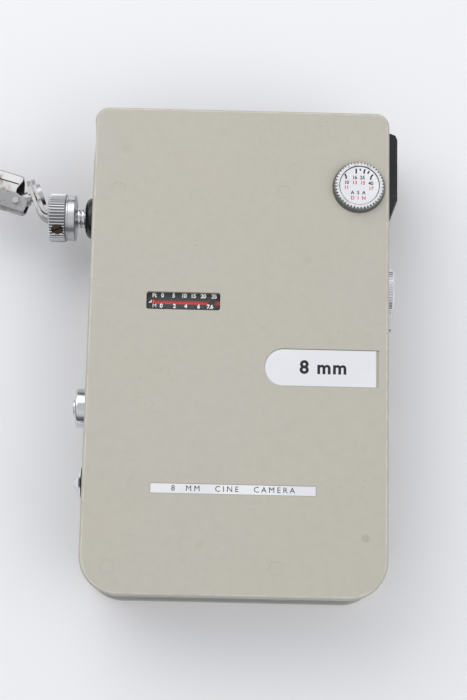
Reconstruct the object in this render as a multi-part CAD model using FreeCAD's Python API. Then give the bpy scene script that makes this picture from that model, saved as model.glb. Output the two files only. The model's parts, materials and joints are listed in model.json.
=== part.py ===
import FreeCAD, Part
import math
import os

# Slim cine camera for 8 mm film, lying on its film door, in millimetres.
# +X is the camera's front (lens), +Y its top (finder), +Z points up out of the
# mechanism cover. The origin is on the door's outer face, under the body's centre.

V = FreeCAD.Vector
X_AXIS, Y_AXIS, Z_AXIS = V(1, 0, 0), V(0, 1, 0), V(0, 0, 1)

# ---- driving dimensions ----
BODY_W = 90.0            # back to front, along X
BODY_H = 148.0           # bottom to top, along Y
BODY_T = 34.0            # door to cover, along Z
TOP_R = 4.2              # corner radius, top corners
BOTTOM_R = 11.5          # corner radius, bottom corners
RIM_R = 1.1              # rounding of the cover's and the door's outer edge
SHELL_Z = 4.0            # height of the cover's and the door's skirt
SKIN = 1.6               # thickness of the cover and the door
WALL = 1.8               # thickness of their skirts
BAND_INSET = 0.5         # the metal band lies this far inside the skirts
BAND_WALL = 2.2          # thickness of the band
LIP = 0.6                # bright lip at each edge of the band
GAP = 0.1                # gap between parts that only lie side by side
RUN = 0.05               # radial clearance of a running fit

COVER_Z = BODY_T - SHELL_Z
X_OUT = BODY_W / 2
Y_OUT = BODY_H / 2
X_BAND = X_OUT - BAND_INSET
X_IN = X_BAND - BAND_WALL
AXIS_Z = BODY_T / 2      # height of the lens, strap screw, release and latch axes

# film path: Double-8 spools, 51 mm across and 18.2 mm wide
SPOOL_R = 25.5
SPOOL_Z = 3.2
SPOOL_W = 18.2
SUPPLY = (-12.0, 30.5)
TAKEUP = (-12.0, -21.5)
PLATE_Z = 22.0           # mechanism plate
PLATE_T = 2.0
POST_Z = 12.0            # lower ends of the screw posts
LEDGE_Z = 20.0           # undersides of the ledges that carry the plate
CHAMBER_TOP = 57.0       # partitions above and below the film chamber

# front: lens, finder, light cell
LENS_Y = 21.8
LENS_RING_R = 8.15
LENS_RING_X = 47.6
BARREL_X = 47.1
FINDER_Y = 63.0
BEZEL_Y = (38.9, 47.6, 69.4)
BEZEL_X = 47.9

# strap fitting on the back
STRAP_Y = 43.1
STUD_R = 3.175           # quarter-inch tripod thread
KNOB_R = 7.5
FLANGE_R = 7.1
TAB_T = 1.8              # folded sheet, two layers
TAB_W = 6.5

# release button and door latch on the back
RELEASE_Y = -16.9
LOCK_RING_R = 6.0
BUTTON_R = 2.7
LATCH_Y = -39.9
LATCH_R = 5.0

# film-speed dial
DIAL = (35.65, 50.0)
DIAL_R = 8.05
CROWN_R = 7.4
DIAL_FACE_R = 5.9
DIAL_TOP = 36.6

# footage window, name plate and lower strip in the cover
WINDOW = (-27.7, -5.6, 10.8, 16.2)
NAME = (8.0, 41.9, -11.6, -0.3)
STRIP = (-24.9, 23.7, -44.2, -41.2)
STUD_SPOTS = [(-37.2, 48.0), (12.8, 48.2), (-36.7, -65.8), (12.2, -65.3)]

# gear train, module 0.5
MODULE = 0.5
MOTOR = (22.0, -50.0)
SHUTTER_Y = 10.3
SHUTTER_SHAFT = (34.5, SHUTTER_Y)
MOTOR_TEETH, DRIVE_TEETH, DRIVE_PINION_TEETH = 10, 80, 8
TAKEUP_TEETH, IDLER_TEETH, SHUTTER_TEETH, CROWN_TEETH = 80, 64, 10, 24

# door hinge along the front edge
HINGE_X, HINGE_Z = X_OUT, SHELL_Z
KNUCKLE_R = 1.5
KNUCKLE_LEN = 11.0
KNUCKLE_Y0 = -58.0       # lower end of the first knuckle
KNUCKLE_COUNT = 5
KNUCKLE_END = KNUCKLE_Y0 + KNUCKLE_COUNT * KNUCKLE_LEN
HINGE_PIN_R = 0.7

# cover screws: (x, y) of each, through the plate into the cover's bosses
SCREW_SPOTS = [(-38.5, 4.5), (38.3, -20.0), (-38.5, 52.5), (24.0, 53.2)]


# ---- small builders ----
def save(name, shape):
    shape.exportStep("parts/" + name + ".step")


def block(x0, x1, y0, y1, z0, z1):
    return Part.makeBox(x1 - x0, y1 - y0, z1 - z0, V(x0, y0, z0))


def rod_x(r, x0, x1, y, z):
    return Part.makeCylinder(r, x1 - x0, V(x0, y, z), X_AXIS)


def rod_y(r, y0, y1, x, z):
    return Part.makeCylinder(r, y1 - y0, V(x, y0, z), Y_AXIS)


def rod_z(r, z0, z1, x, y):
    return Part.makeCylinder(r, z1 - z0, V(x, y, z0), Z_AXIS)


def joined(shapes):
    return shapes[0].multiFuse(shapes[1:]).removeSplitter()


def prism(points, z0, z1):
    ring = [V(x, y, z0) for x, y in points]
    face = Part.Face(Part.makePolygon(ring + ring[:1]))
    return face.extrude(V(0, 0, z1 - z0))


def rounded_outline(x0, x1, y0, y1, radii, z):
    """Wire of a rectangle whose corner radii run from the lower left, anticlockwise."""
    corners = [(x0, y0, 1, 1), (x1, y0, -1, 1), (x1, y1, -1, -1), (x0, y1, 1, -1)]
    first_start = 180.0
    arcs = []
    for turn, ((cx, cy, sx, sy), r) in enumerate(zip(corners, radii)):
        centre = V(cx + sx * r, cy + sy * r, z)
        start = math.radians(first_start + 90.0 * turn)
        points = [
            centre + V(r * math.cos(start + a), r * math.sin(start + a), 0)
            for a in (0.0, math.pi / 4, math.pi / 2)
        ]
        arcs.append(points)
    edges = []
    for this, following in zip(arcs, arcs[1:] + arcs[:1]):
        edges.append(Part.Arc(*this).toShape())
        edges.append(Part.LineSegment(this[2], following[0]).toShape())
    return Part.Wire(edges)


def rounded_prism(x0, x1, y0, y1, radii, z0, z1):
    face = Part.Face(rounded_outline(x0, x1, y0, y1, radii, z0))
    return face.extrude(V(0, 0, z1 - z0))


def body_prism(inset, z0, z1):
    """The camera's outline, drawn in by inset, from z0 to z1."""
    bottom, top = BOTTOM_R - inset, TOP_R - inset
    return rounded_prism(
        -X_OUT + inset, X_OUT - inset, -Y_OUT + inset, Y_OUT - inset,
        [bottom, bottom, top, top], z0, z1,
    )


def edges_at_z(shape, z):
    boxes = [(e, e.BoundBox) for e in shape.Edges]
    return [e for e, b in boxes if abs(b.ZMin - z) < 1e-4 and abs(b.ZMax - z) < 1e-4]


def edges_at_x(shape, x):
    boxes = [(e, e.BoundBox) for e in shape.Edges]
    return [e for e, b in boxes if abs(b.XMin - x) < 1e-4 and abs(b.XMax - x) < 1e-4]


def along_x(shape, y, z):
    """A solid drawn along +Z from the origin, laid along +X with its axis at y, z."""
    turned = shape.copy()
    turned.rotate(V(0, 0, 0), Y_AXIS, 90)
    turned.translate(V(0, y, z))
    return turned


def toothed(r_tip, r_root, teeth, z0, z1, land=0.5):
    """A straight-toothed disc at the origin: land is the share of a pitch that the teeth fill."""
    pitch = 2 * math.pi / teeth
    points = []
    for k in range(teeth):
        for share, r in ((-0.5, r_root), (-land / 2, r_tip), (land / 2, r_tip)):
            a = (k + share) * pitch
            points.append((r * math.cos(a), r * math.sin(a)))
    return prism(points, z0, z1)


def gear(teeth, centre, z0, z1, phase, bore=0.0):
    """A spur gear with slim trapezoid teeth. A tooth's centre line lies at the angle phase."""
    pitch_r = MODULE * teeth / 2
    pitch = 2 * math.pi / teeth
    profile = ((-0.5, -0.62), (-0.27, -0.62), (-0.10, 0.40), (0.10, 0.40), (0.27, -0.62))
    points = []
    for k in range(teeth):
        for share, rise in profile:
            a = phase + (k + share) * pitch
            r = pitch_r + rise
            points.append((centre[0] + r * math.cos(a), centre[1] + r * math.sin(a)))
    solid = prism(points, z0, z1)
    if bore:
        solid = solid.cut(rod_z(bore, z0 - 1, z1 + 1, *centre))
    return solid


def meeting_point(a, ra, b, rb):
    """The point at ra from a and rb from b, on the left of the line from a to b."""
    dx, dy = b[0] - a[0], b[1] - a[1]
    d = math.hypot(dx, dy)
    along = (d * d + ra * ra - rb * rb) / (2 * d)
    off = math.sqrt(ra * ra - along * along)
    return (a[0] + (along * dx - off * dy) / d, a[1] + (along * dy + off * dx) / d)


def mesh_phase(a, a_phase, a_teeth, b, b_teeth):
    """The phase that puts gear b in mesh with gear a."""
    line = math.atan2(b[1] - a[1], b[0] - a[0])
    share = (a_phase - line) * a_teeth / (2 * math.pi)
    return line + math.pi + (0.5 - share) * 2 * math.pi / b_teeth


# ---- gear centres and phases, worked out along the train ----
DRIVE = meeting_point(
    TAKEUP, MODULE * (DRIVE_PINION_TEETH + TAKEUP_TEETH) / 2,
    MOTOR, MODULE * (DRIVE_TEETH + MOTOR_TEETH) / 2,
)
IDLER = meeting_point(
    DRIVE, MODULE * (DRIVE_TEETH + IDLER_TEETH) / 2,
    SHUTTER_SHAFT, MODULE * (IDLER_TEETH + SHUTTER_TEETH) / 2,
)
MOTOR_PHASE = mesh_phase(DRIVE, 0.0, DRIVE_TEETH, MOTOR, MOTOR_TEETH)
TAKEUP_PHASE = mesh_phase(DRIVE, 0.0, DRIVE_PINION_TEETH, TAKEUP, TAKEUP_TEETH)
IDLER_PHASE = mesh_phase(DRIVE, 0.0, DRIVE_TEETH, IDLER, IDLER_TEETH)
SHUTTER_PHASE = mesh_phase(IDLER, IDLER_PHASE, IDLER_TEETH, SHUTTER_SHAFT, SHUTTER_TEETH)
GEAR_Z = (25.0, 26.4)            # motor pinion, drive gear, idler and shutter pinion
TAKEUP_GEAR_Z = (27.8, 29.2)     # drive gear's small pinion and take-up gear
TAKEUP_NECK_R = 1.5              # the spindle is thin where the drive gear passes it


# ---- casing ----
def mechanism_cover():
    shell = body_prism(0, COVER_Z, BODY_T)
    shell = shell.makeFillet(RIM_R, edges_at_z(shell, BODY_T))
    underside = BODY_T - SKIN
    shell = shell.cut(body_prism(WALL, COVER_Z - 1, underside))
    bosses = [rod_z(2.6, PLATE_Z + PLATE_T, underside + 0.5, x, y) for x, y in SCREW_SPOTS]
    shell = joined([shell] + bosses)
    cuts = [rod_z(1.3, PLATE_Z, underside - 2, x, y) for x, y in SCREW_SPOTS]
    cuts += [rod_z(2.0, underside - 1, BODY_T + 1, x, y) for x, y in STUD_SPOTS]
    cuts.append(rod_z(3.0 + RUN, underside - 1, BODY_T + 1, *DIAL))
    cuts.append(rounded_prism(*WINDOW, [0.8] * 4, underside - 1, BODY_T + 1))
    end_r = (NAME[3] - NAME[2]) / 2 - 0.01
    cuts.append(rounded_prism(*NAME, [end_r, 0.3, 0.3, end_r], BODY_T - 0.5, BODY_T + 1))
    cuts.append(rounded_prism(*STRIP, [0.2] * 4, BODY_T - 0.4, BODY_T + 1))
    relief_r = 51.4
    cuts.append(rod_z(relief_r, COVER_Z - 1, BODY_T + 1, -X_OUT + 0.4 - relief_r, FINDER_Y))
    return shell.cut(Part.makeCompound(cuts))


def knuckle_spans(door_side):
    first = 1 if door_side else 0
    spans = []
    for k in range(first, KNUCKLE_COUNT, 2):
        start = KNUCKLE_Y0 + k * KNUCKLE_LEN
        spans.append((start + GAP, start + KNUCKLE_LEN - GAP))
    return spans


def screw_post(x, y, web):
    """A post under the mechanism plate, with the web that joins it to a wall."""
    return [rod_z(3.2, POST_Z, PLATE_Z, x, y), web]


def screw_bores():
    return [rod_z(1.3, POST_Z - 1, PLATE_Z + 1, x, y) for x, y in SCREW_SPOTS]


def body_frame():
    """The metal band, with the front ledges, one screw post and the fixed hinge knuckles."""
    band = body_prism(BAND_INSET, SHELL_Z, COVER_Z)
    lips = [body_prism(0.15, z, z + LIP) for z in (SHELL_Z, COVER_Z - LIP)]
    band = joined([band] + lips)
    band = band.cut(body_prism(BAND_INSET + BAND_WALL, SHELL_Z - 1, COVER_Z + 1))
    x, y = SCREW_SPOTS[1]
    inside = screw_post(x, y, block(x, X_IN + 0.5, y - 1.2, y + 1.2, POST_Z, PLATE_Z))
    for y0, y1 in ((-56.0, -6.0), (47.0, CHAMBER_TOP - GAP)):
        inside.append(block(X_IN - 1.5, X_IN + 0.5, y0, y1, LEDGE_Z, PLATE_Z))
    knuckles = [rod_y(KNUCKLE_R, y0, y1, HINGE_X, HINGE_Z) for y0, y1 in knuckle_spans(False)]
    frame = joined([band] + inside + knuckles)
    cuts = screw_bores()
    cuts.append(rod_y(HINGE_PIN_R, KNUCKLE_Y0, KNUCKLE_END, HINGE_X, HINGE_Z))
    for y0, y1 in knuckle_spans(True):
        cuts.append(block(42.9, 47, y0 - 2 * GAP, y1 + 2 * GAP, SHELL_Z - 1, SHELL_Z + 1.8))
    cuts.append(rod_x(7.0 + RUN, X_IN - 1, X_OUT + 1, LENS_Y, AXIS_Z))
    cuts.append(block(X_IN - 0.5, X_OUT + 1, 58.6, 67.4, 11.5, 22.5))
    cuts.append(rod_x(4.4, -X_OUT - 1, -X_IN + 0.3, FINDER_Y, AXIS_Z))
    cuts.append(rod_x(4.5, -X_OUT - 1, -X_IN + 2, STRAP_Y, AXIS_Z))
    cuts.append(rod_x(4.0, -X_OUT - 1, -X_IN + 1, RELEASE_Y, AXIS_Z))
    cuts.append(rod_x(2.0, -X_OUT - 1, -X_IN + 1, LATCH_Y, AXIS_Z))
    return frame.cut(Part.makeCompound(cuts))


def chassis():
    """Partitions above and below the film chamber, the back ledge and three screw posts."""
    rib_z, cell_wall_x = 5.3, 11.3
    parts = [
        block(-X_IN, X_IN, CHAMBER_TOP, CHAMBER_TOP + 1.2, rib_z, PLATE_Z),
        block(-X_IN, cell_wall_x + 1, -49.3, -48.3, rib_z, PLATE_Z),
        block(cell_wall_x, cell_wall_x + 1, -Y_OUT + 2.7, -48.3, rib_z, PLATE_Z),
        block(-X_IN, -X_IN + 1.5, -48.5, CHAMBER_TOP + 0.5, LEDGE_Z, PLATE_Z),
    ]
    for x, y in (SCREW_SPOTS[0], SCREW_SPOTS[2]):
        parts += screw_post(x, y, block(-X_IN, x, y - 1.2, y + 1.2, POST_Z, PLATE_Z))
    x, y = SCREW_SPOTS[3]
    parts += screw_post(x, y, block(x - 1.2, x + 1.2, y, CHAMBER_TOP + 0.5, POST_Z, PLATE_Z))
    cuts = screw_bores()
    for r, y in ((4.5, STRAP_Y), (4.0, RELEASE_Y)):
        cuts.append(rod_x(r, -X_IN - 1, -X_IN + 3, y, AXIS_Z))
    return joined(parts).cut(Part.makeCompound(cuts))


def film_door():
    tray = body_prism(0, 0, SHELL_Z)
    tray = tray.makeFillet(RIM_R, edges_at_z(tray, 0))
    tray = tray.cut(body_prism(WALL, SKIN, SHELL_Z + 1))
    rib_in = BAND_INSET + BAND_WALL + 0.2
    rib = body_prism(rib_in, SKIN - 0.3, SHELL_Z + 1).cut(body_prism(rib_in + 1, 0, SHELL_Z + 2))
    keeper = block(-X_IN + 0.4, -X_IN + 1.7, -46.0, -44.8, SKIN - 0.3, 9.6).fuse(
        block(-X_IN + 0.4, -X_IN + 1.7, -46.0, -42.6, 8.4, 9.6)
    )
    for y0, y1 in knuckle_spans(False):
        tray = tray.cut(block(43.1, 46, y0 - 2 * GAP, y1 + 2 * GAP, 2.2, SHELL_Z + 1))
    knuckles = [rod_y(KNUCKLE_R, y0, y1, HINGE_X, HINGE_Z) for y0, y1 in knuckle_spans(True)]
    door = joined([tray, rib, keeper] + knuckles)
    return door.cut(rod_y(HINGE_PIN_R + RUN, KNUCKLE_Y0, KNUCKLE_END, HINGE_X, HINGE_Z))


def hinge_pin():
    return rod_y(HINGE_PIN_R, KNUCKLE_Y0 + 2 * GAP, KNUCKLE_END - 2 * GAP, HINGE_X, HINGE_Z)


def mechanism_plate():
    plate = block(-X_IN + GAP, X_IN - GAP, -56.5, CHAMBER_TOP - GAP, PLATE_Z, PLATE_Z + PLATE_T)
    cuts = [
        block(36.4, X_OUT, -4.5, 46.0, 0, BODY_T),
        block(-X_OUT, 12.4, -60.0, -49.6, 0, BODY_T),
        block(31.2, 33.0, 12.4, 18.4, 0, BODY_T),
        rod_z(3.2, 0, BODY_T, *MOTOR),
        rod_z(3.3, 0, BODY_T, *SHUTTER_SHAFT),
        rod_z(2.5 + RUN, 0, BODY_T, *SUPPLY),
        rod_z(2.5 + RUN, 0, BODY_T, *TAKEUP),
        rod_z(1.0, 0, BODY_T, *DRIVE),
        rod_z(1.0, 0, BODY_T, *IDLER),
    ]
    cuts += [rod_z(1.3, 0, BODY_T, x, y) for x, y in SCREW_SPOTS]
    return plate.cut(Part.makeCompound(cuts))


def cover_screws():
    return Part.makeCompound([
        rod_z(1.25, 12.0, 28.0, x, y).fuse(rod_z(2.2, 10.6, 12.0, x, y)).cut(
            block(x - 3, x + 3, y - 0.3, y + 0.3, 10.0, 11.2)
        )
        for x, y in SCREW_SPOTS
    ])


def cover_studs():
    return Part.makeCompound([
        rod_z(2.0, 31.0, BODY_T - 0.05, x, y) for x, y in STUD_SPOTS
    ])


def name_plate():
    end_r = (NAME[3] - NAME[2]) / 2 - 0.25
    return rounded_prism(
        NAME[0] + 0.1, NAME[1] - 0.8, NAME[2] + 0.1, NAME[3] - 0.25,
        [end_r, 0.2, 0.2, end_r], BODY_T - 0.5, BODY_T - 0.15,
    )


def lower_plate():
    return rounded_prism(
        STRIP[0] + 0.1, STRIP[1] - 0.1, STRIP[2] + 0.1, STRIP[3] - 0.1,
        [0.15] * 4, BODY_T - 0.4, BODY_T - 0.12,
    )


# ---- film-speed dial ----
def dial_rim():
    skirt = Part.makeCone(DIAL_R, CROWN_R, 1.6, V(*DIAL, BODY_T + GAP), Z_AXIS)
    crown = toothed(CROWN_R, CROWN_R - 0.55, 44, BODY_T + 1.6, DIAL_TOP)
    crown.translate(V(*DIAL, 0))
    sleeve = rod_z(3.0, 27.0, BODY_T + 0.5, *DIAL)
    rim = joined([skirt, crown, sleeve])
    rim = rim.cut(rod_z(DIAL_FACE_R + 0.2, BODY_T + 1.2, BODY_T + 4, *DIAL))
    notch = rod_z(0.45, BODY_T + 1.2, BODY_T + 4, DIAL[0], DIAL[1] - DIAL_FACE_R - 0.3)
    return rim.cut(notch).cut(rod_z(2.0 + RUN, 26, BODY_T + 4, *DIAL))


def dial_face():
    """The white scale disc, on the post that the rim's sleeve turns on."""
    return rod_z(DIAL_FACE_R, 35.4, 36.2, *DIAL).fuse(rod_z(2.0, PLATE_Z + PLATE_T, 36.0, *DIAL))


# ---- footage counter ----
def counter_glass():
    return block(WINDOW[0] - 1.0, WINDOW[1] + 1.0, WINDOW[2] - 1.0, WINDOW[3] + 1.0, 31.95, 32.4)


def counter_scale():
    x0, x1, y0, y1 = WINDOW[0] - 1.2, WINDOW[1] + 1.2, WINDOW[2] - 1.0, WINDOW[3] + 1.0
    plate = block(x0 - 0.8, x1 + 0.8, y0, y1, 31.0, 31.6)
    ends = [block(x0 - 0.8, x0, y0, y1, 31.0, 32.4), block(x1, x1 + 0.8, y0, y1, 31.0, 32.4)]
    rail = block(x0, x1, 12.2, 14.7, 30.4, 31.1)
    slot = block(WINDOW[0] + 0.8, WINDOW[1] - 0.8, 13.0, 13.9, 31.0, 32)
    return joined([plate, rail] + ends).cut(slot)


def counter_pointer():
    tip_x, mid_y = -9.2, 13.45
    slider = block(tip_x + 0.1, tip_x + 1.7, 13.05, 13.85, 31.1, 31.75)
    back_x, half = tip_x + 1.8, 0.85
    head = prism([(tip_x, mid_y), (back_x, mid_y - half), (back_x, mid_y + half)], 31.65, 31.88)
    return slider.fuse(head)


# ---- front: bezel, finder, light cell, lens ----
def front_bezel():
    low, step, high = BEZEL_Y
    side = [
        (X_BAND, low), (BEZEL_X - 0.45, step), (BEZEL_X, step), (BEZEL_X, high - 2.2),
        (BEZEL_X - 0.6, high - 0.8), (BEZEL_X - 2.2, high - 0.2), (X_BAND, high - 0.2),
    ]
    body = prism(side, 5.2, 28.8)
    cuts = [
        block(X_BAND - 1, BEZEL_X - 1.2, 58.6, 67.4, 11.5, 22.5),
        block(X_BAND, BEZEL_X + 1, 59.4, 66.6, 12.3, 21.7),
        block(X_BAND - 1, BEZEL_X + 1, 53.2, 57.4, 8.0, 26.0),
    ]
    return body.cut(Part.makeCompound(cuts))


def light_cell():
    return block(X_BAND + 0.1, X_BAND + 1.1, 53.3, 57.3, 8.1, 25.9)


def cell_window():
    pane = block(BEZEL_X - 1.7, BEZEL_X - 0.9, 53.25, 57.35, 8.05, 25.95)
    ribs = [rod_y(0.9, 53.25, 57.35, BEZEL_X - 1.0, 9.4 + 1.9 * k) for k in range(9)]
    return joined([pane] + ribs)


def finder_tube():
    y0, y1, z0, z1 = 58.7, 67.3, 11.6, 22.4
    wall = 0.8
    outer = block(-X_IN + 0.6, X_BAND, y0, y1, z0, z1)
    return outer.cut(block(-X_OUT, X_OUT + 2, y0 + wall, y1 - wall, z0 + wall, z1 - wall))


def eyepiece_ring():
    outer = rod_x(4.35, -X_BAND - 0.3, -X_IN + 0.2, FINDER_Y, AXIS_Z)
    return outer.cut(rod_x(3.4, -X_OUT - 1, -X_IN + 1, FINDER_Y, AXIS_Z))


def lens_element(r, x0, x1, y, rise):
    """A lens about the X axis: a disc whose front face bulges by rise."""
    sphere_r = (r * r + rise * rise) / (2 * rise)
    disc = rod_x(r, x0, x1, y, AXIS_Z)
    return disc.common(Part.makeSphere(sphere_r, V(x1 - sphere_r, y, AXIS_Z)))


def finder_lenses():
    """The finder's square front lens, with a faintly bulging face, and its round eye lens."""
    front = block(BEZEL_X - 1.9, BEZEL_X - 0.1, 59.45, 66.55, 12.35, 21.65)
    front = front.common(Part.makeSphere(60, V(BEZEL_X - 60.15, FINDER_Y, AXIS_Z)))
    return Part.makeCompound([front, lens_element(3.35, -43.9, -42.4, FINDER_Y, 0.5)])


def front_element():
    return lens_element(5.15, 44.4, 46.9, LENS_Y, 0.9)


def rear_element():
    return lens_element(4.0, 41.0, 43.0, LENS_Y, 0.5)


def lens_barrel():
    tube = joined([
        rod_x(7.0, 40.4, BARREL_X, LENS_Y, AXIS_Z),
        rod_x(7.5, X_BAND, 45.1, LENS_Y, AXIS_Z),
    ])
    tube = tube.cut(rod_x(5.2, 44.0, 49.0, LENS_Y, AXIS_Z))
    return tube.cut(rod_x(4.05, 40.0, 45.0, LENS_Y, AXIS_Z))


def lens_ring():
    ring = toothed(LENS_RING_R, LENS_RING_R - 0.3, 64, 45.3, LENS_RING_X - 0.5)
    lip = Part.makeCone(LENS_RING_R - 0.3, LENS_RING_R - 0.8, 0.5, V(0, 0, LENS_RING_X - 0.5), Z_AXIS)
    ring = along_x(ring.fuse(lip), LENS_Y, AXIS_Z)
    lug_y = LENS_Y - 11.2
    lug = block(45.7, BARREL_X, lug_y, LENS_Y - 7.4, AXIS_Z - 1.8, AXIS_Z + 1.8).fuse(
        rod_x(1.8, 45.7, BARREL_X, lug_y, AXIS_Z)
    )
    ring = ring.fuse(lug)
    ring = ring.cut(rod_x(7.0 + RUN, 45.0, BARREL_X + GAP, LENS_Y, AXIS_Z))
    return ring.cut(rod_x(5.6, 45.0, 49.0, LENS_Y, AXIS_Z))


# ---- film gate, claw and shutter ----
GATE_X = 33.0
GATE_PIN_Y = (14.8, 30.0)
CLAW_PIN_Y = (17.4, 21.6)


def film_gate():
    plate = block(GATE_X, GATE_X + 1.5, 13.8, 31.8, 4.5, PLATE_Z)
    plate = plate.cut(block(GATE_X - 1, GATE_X + 3, LENS_Y - 1.75, LENS_Y + 1.75, 14.6, 19.4))
    pins = [rod_x(0.8, 27.0, GATE_X + 0.5, y, 12.0) for y in GATE_PIN_Y]
    heads = [rod_x(1.6, 26.4, 27.0, y, 12.0) for y in GATE_PIN_Y]
    return joined([plate] + pins + heads)


def pressure_plate():
    plate = rounded_prism(0, 15.0, 13.0, 31.8, [1.0] * 4, 0, 1.2)
    plate.rotate(V(0, 0, 0), Y_AXIS, -90)
    plate.translate(V(31.8, 0, 4.6))
    for y in GATE_PIN_Y:
        plate = plate.cut(rod_x(0.8 + RUN, 29, 33, y, 12.0))
    return plate


def gate_springs():
    return Part.makeCompound([
        rod_x(1.5, 27.1, 28.9, y, 12.0).cut(rod_x(0.95, 27, 30, y, 12.0)) for y in GATE_PIN_Y
    ])


def claw():
    carriage = block(29.3, 31.2, 16.6, 26.0, 24.1, 25.6)
    for y in CLAW_PIN_Y:
        carriage = carriage.cut(block(29.75, 30.75, y - 0.5, y + 4.4, 24, 24.9))
    arm = block(31.0, 32.7, 16.8, 17.8, 24.1, 25.6)
    tip = block(31.9, 32.7, 16.8, 17.8, 19.6, 24.4)
    return joined([carriage, arm, tip])


def shutter_bracket():
    plate = joined([
        block(35.2, 36.2, 3.0, 17.6, 8.0, 21.2),
        block(35.2, 36.2, 3.0, 6.6, 21.0, PLATE_Z),
        block(35.2, 36.2, 14.0, 17.6, 21.0, PLATE_Z),
    ])
    return plate.cut(rod_x(1.0 + RUN, 35, 37, SHUTTER_Y, AXIS_Z))


# the crown's teeth straddle the pinion tooth that points at it
SHUTTER_OPEN_AT = 110.0
SHUTTER_OFFSET = math.remainder(SHUTTER_PHASE, 2 * math.pi / SHUTTER_TEETH)
CROWN_TURN = -SHUTTER_OFFSET * SHUTTER_TEETH / CROWN_TEETH


def shutter_disc():
    disc = rod_x(13.8, 37.6, 38.2, SHUTTER_Y, AXIS_Z)
    sector = Part.makeCylinder(15, 2, V(0, 0, 0), Z_AXIS, 150)
    sector = sector.cut(rod_z(7.0, -1, 3, 0, 0))
    sector = along_x(sector, 0, 0)
    sector.rotate(V(0, 0, 0), X_AXIS, SHUTTER_OPEN_AT)
    sector.translate(V(36.9, SHUTTER_Y, AXIS_Z))
    crown = [
        block(36.96, 37.7, -0.2, 0.2, 4.9, 6.3).rotated(
            V(0, 0, 0), X_AXIS, math.degrees(CROWN_TURN) + (k + 0.5) * 360.0 / CROWN_TEETH
        ).translated(V(0, SHUTTER_Y, AXIS_Z))
        for k in range(CROWN_TEETH)
    ]
    shaft = rod_x(1.0, 35.0, 38.8, SHUTTER_Y, AXIS_Z)
    ring = rod_x(6.3, 37.5, 37.7, SHUTTER_Y, AXIS_Z)
    return joined([disc.cut(sector), ring, shaft] + crown)


# ---- light meter movement and its aperture vane ----
METER_Y, METER_Z = 39.6, 14.5


def meter_movement():
    case = rod_x(6.8, 30.0, 38.0, METER_Y, METER_Z)
    stalk = block(32.0, 36.0, METER_Y - 2, METER_Y + 2, METER_Z + 6, PLATE_Z)
    return case.fuse(stalk).cut(rod_x(0.5 + RUN, 35, 39, METER_Y, METER_Z))


def aperture_vane():
    shaft = rod_x(0.5, 36.0, 39.3, METER_Y, METER_Z)
    hub = rod_x(1.8, 39.0, 39.3, METER_Y, METER_Z)
    reach = METER_Y - LENS_Y
    side = [(1.0, 0), (3.6, -reach + 4), (3.6, -reach - 3)]
    blade = prism(side + [(-x, y) for x, y in reversed(side)], 0, 0.3)
    blade = blade.cut(rod_z(1.3, -1, 1, -1.2, -reach))
    blade = blade.cut(rod_z(0.7, -1, 1, 1.0, -reach))
    blade.rotate(V(0, 0, 0), Y_AXIS, 90)
    blade.rotate(V(0, 0, 0), X_AXIS, -math.degrees(math.atan2(AXIS_Z - METER_Z, reach)))
    blade.translate(V(39.0, METER_Y, METER_Z))
    return joined([shaft, hub, blade])


# ---- drive ----
def motor():
    case = rod_z(9.5, 4.6, PLATE_Z - GAP, *MOTOR)
    boss = rod_z(2.6, PLATE_Z - 0.2, PLATE_Z + 1, *MOTOR)
    return case.fuse(boss).cut(rod_z(0.75 + RUN, 10, PLATE_Z + 3, *MOTOR))


def motor_pinion():
    pinion = gear(MOTOR_TEETH, MOTOR, GEAR_Z[0] - 0.4, GEAR_Z[1] + 0.3, MOTOR_PHASE)
    return pinion.fuse(rod_z(0.75, 12.0, GEAR_Z[1], *MOTOR))


def drive_gear():
    wheel = gear(DRIVE_TEETH, DRIVE, *GEAR_Z, 0.0)
    for k in range(5):
        a = math.radians(72 * k)
        spot = (DRIVE[0] + 11.5 * math.cos(a), DRIVE[1] + 11.5 * math.sin(a))
        wheel = wheel.cut(rod_z(4.2, 24, 28, *spot))
    pinion = gear(DRIVE_PINION_TEETH, DRIVE, GEAR_Z[1] - 0.2, TAKEUP_GEAR_Z[1] + 0.3, 0.0)
    return wheel.fuse(pinion).cut(rod_z(0.8 + RUN, 24, 31, *DRIVE))


def takeup_gear():
    wheel = gear(TAKEUP_TEETH, TAKEUP, *TAKEUP_GEAR_Z, TAKEUP_PHASE, TAKEUP_NECK_R + RUN)
    for k in range(6):
        a = math.radians(60 * k)
        spot = (TAKEUP[0] + 11.5 * math.cos(a), TAKEUP[1] + 11.5 * math.sin(a))
        wheel = wheel.cut(rod_z(3.8, 27, 30, *spot))
    return wheel


def idler_gear():
    wheel = gear(IDLER_TEETH, IDLER, *GEAR_Z, IDLER_PHASE, 1.0 + RUN)
    for k in range(5):
        a = math.radians(72 * k)
        spot = (IDLER[0] + 8.8 * math.cos(a), IDLER[1] + 8.8 * math.sin(a))
        wheel = wheel.cut(rod_z(3.4, 24, 28, *spot))
    return wheel


def shutter_pinion():
    pinion = gear(SHUTTER_TEETH, SHUTTER_SHAFT, 21.7, GEAR_Z[1] + 0.4, SHUTTER_PHASE)
    return pinion.cut(rod_z(0.8 + RUN, 24.0, 29, *SHUTTER_SHAFT))


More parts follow.
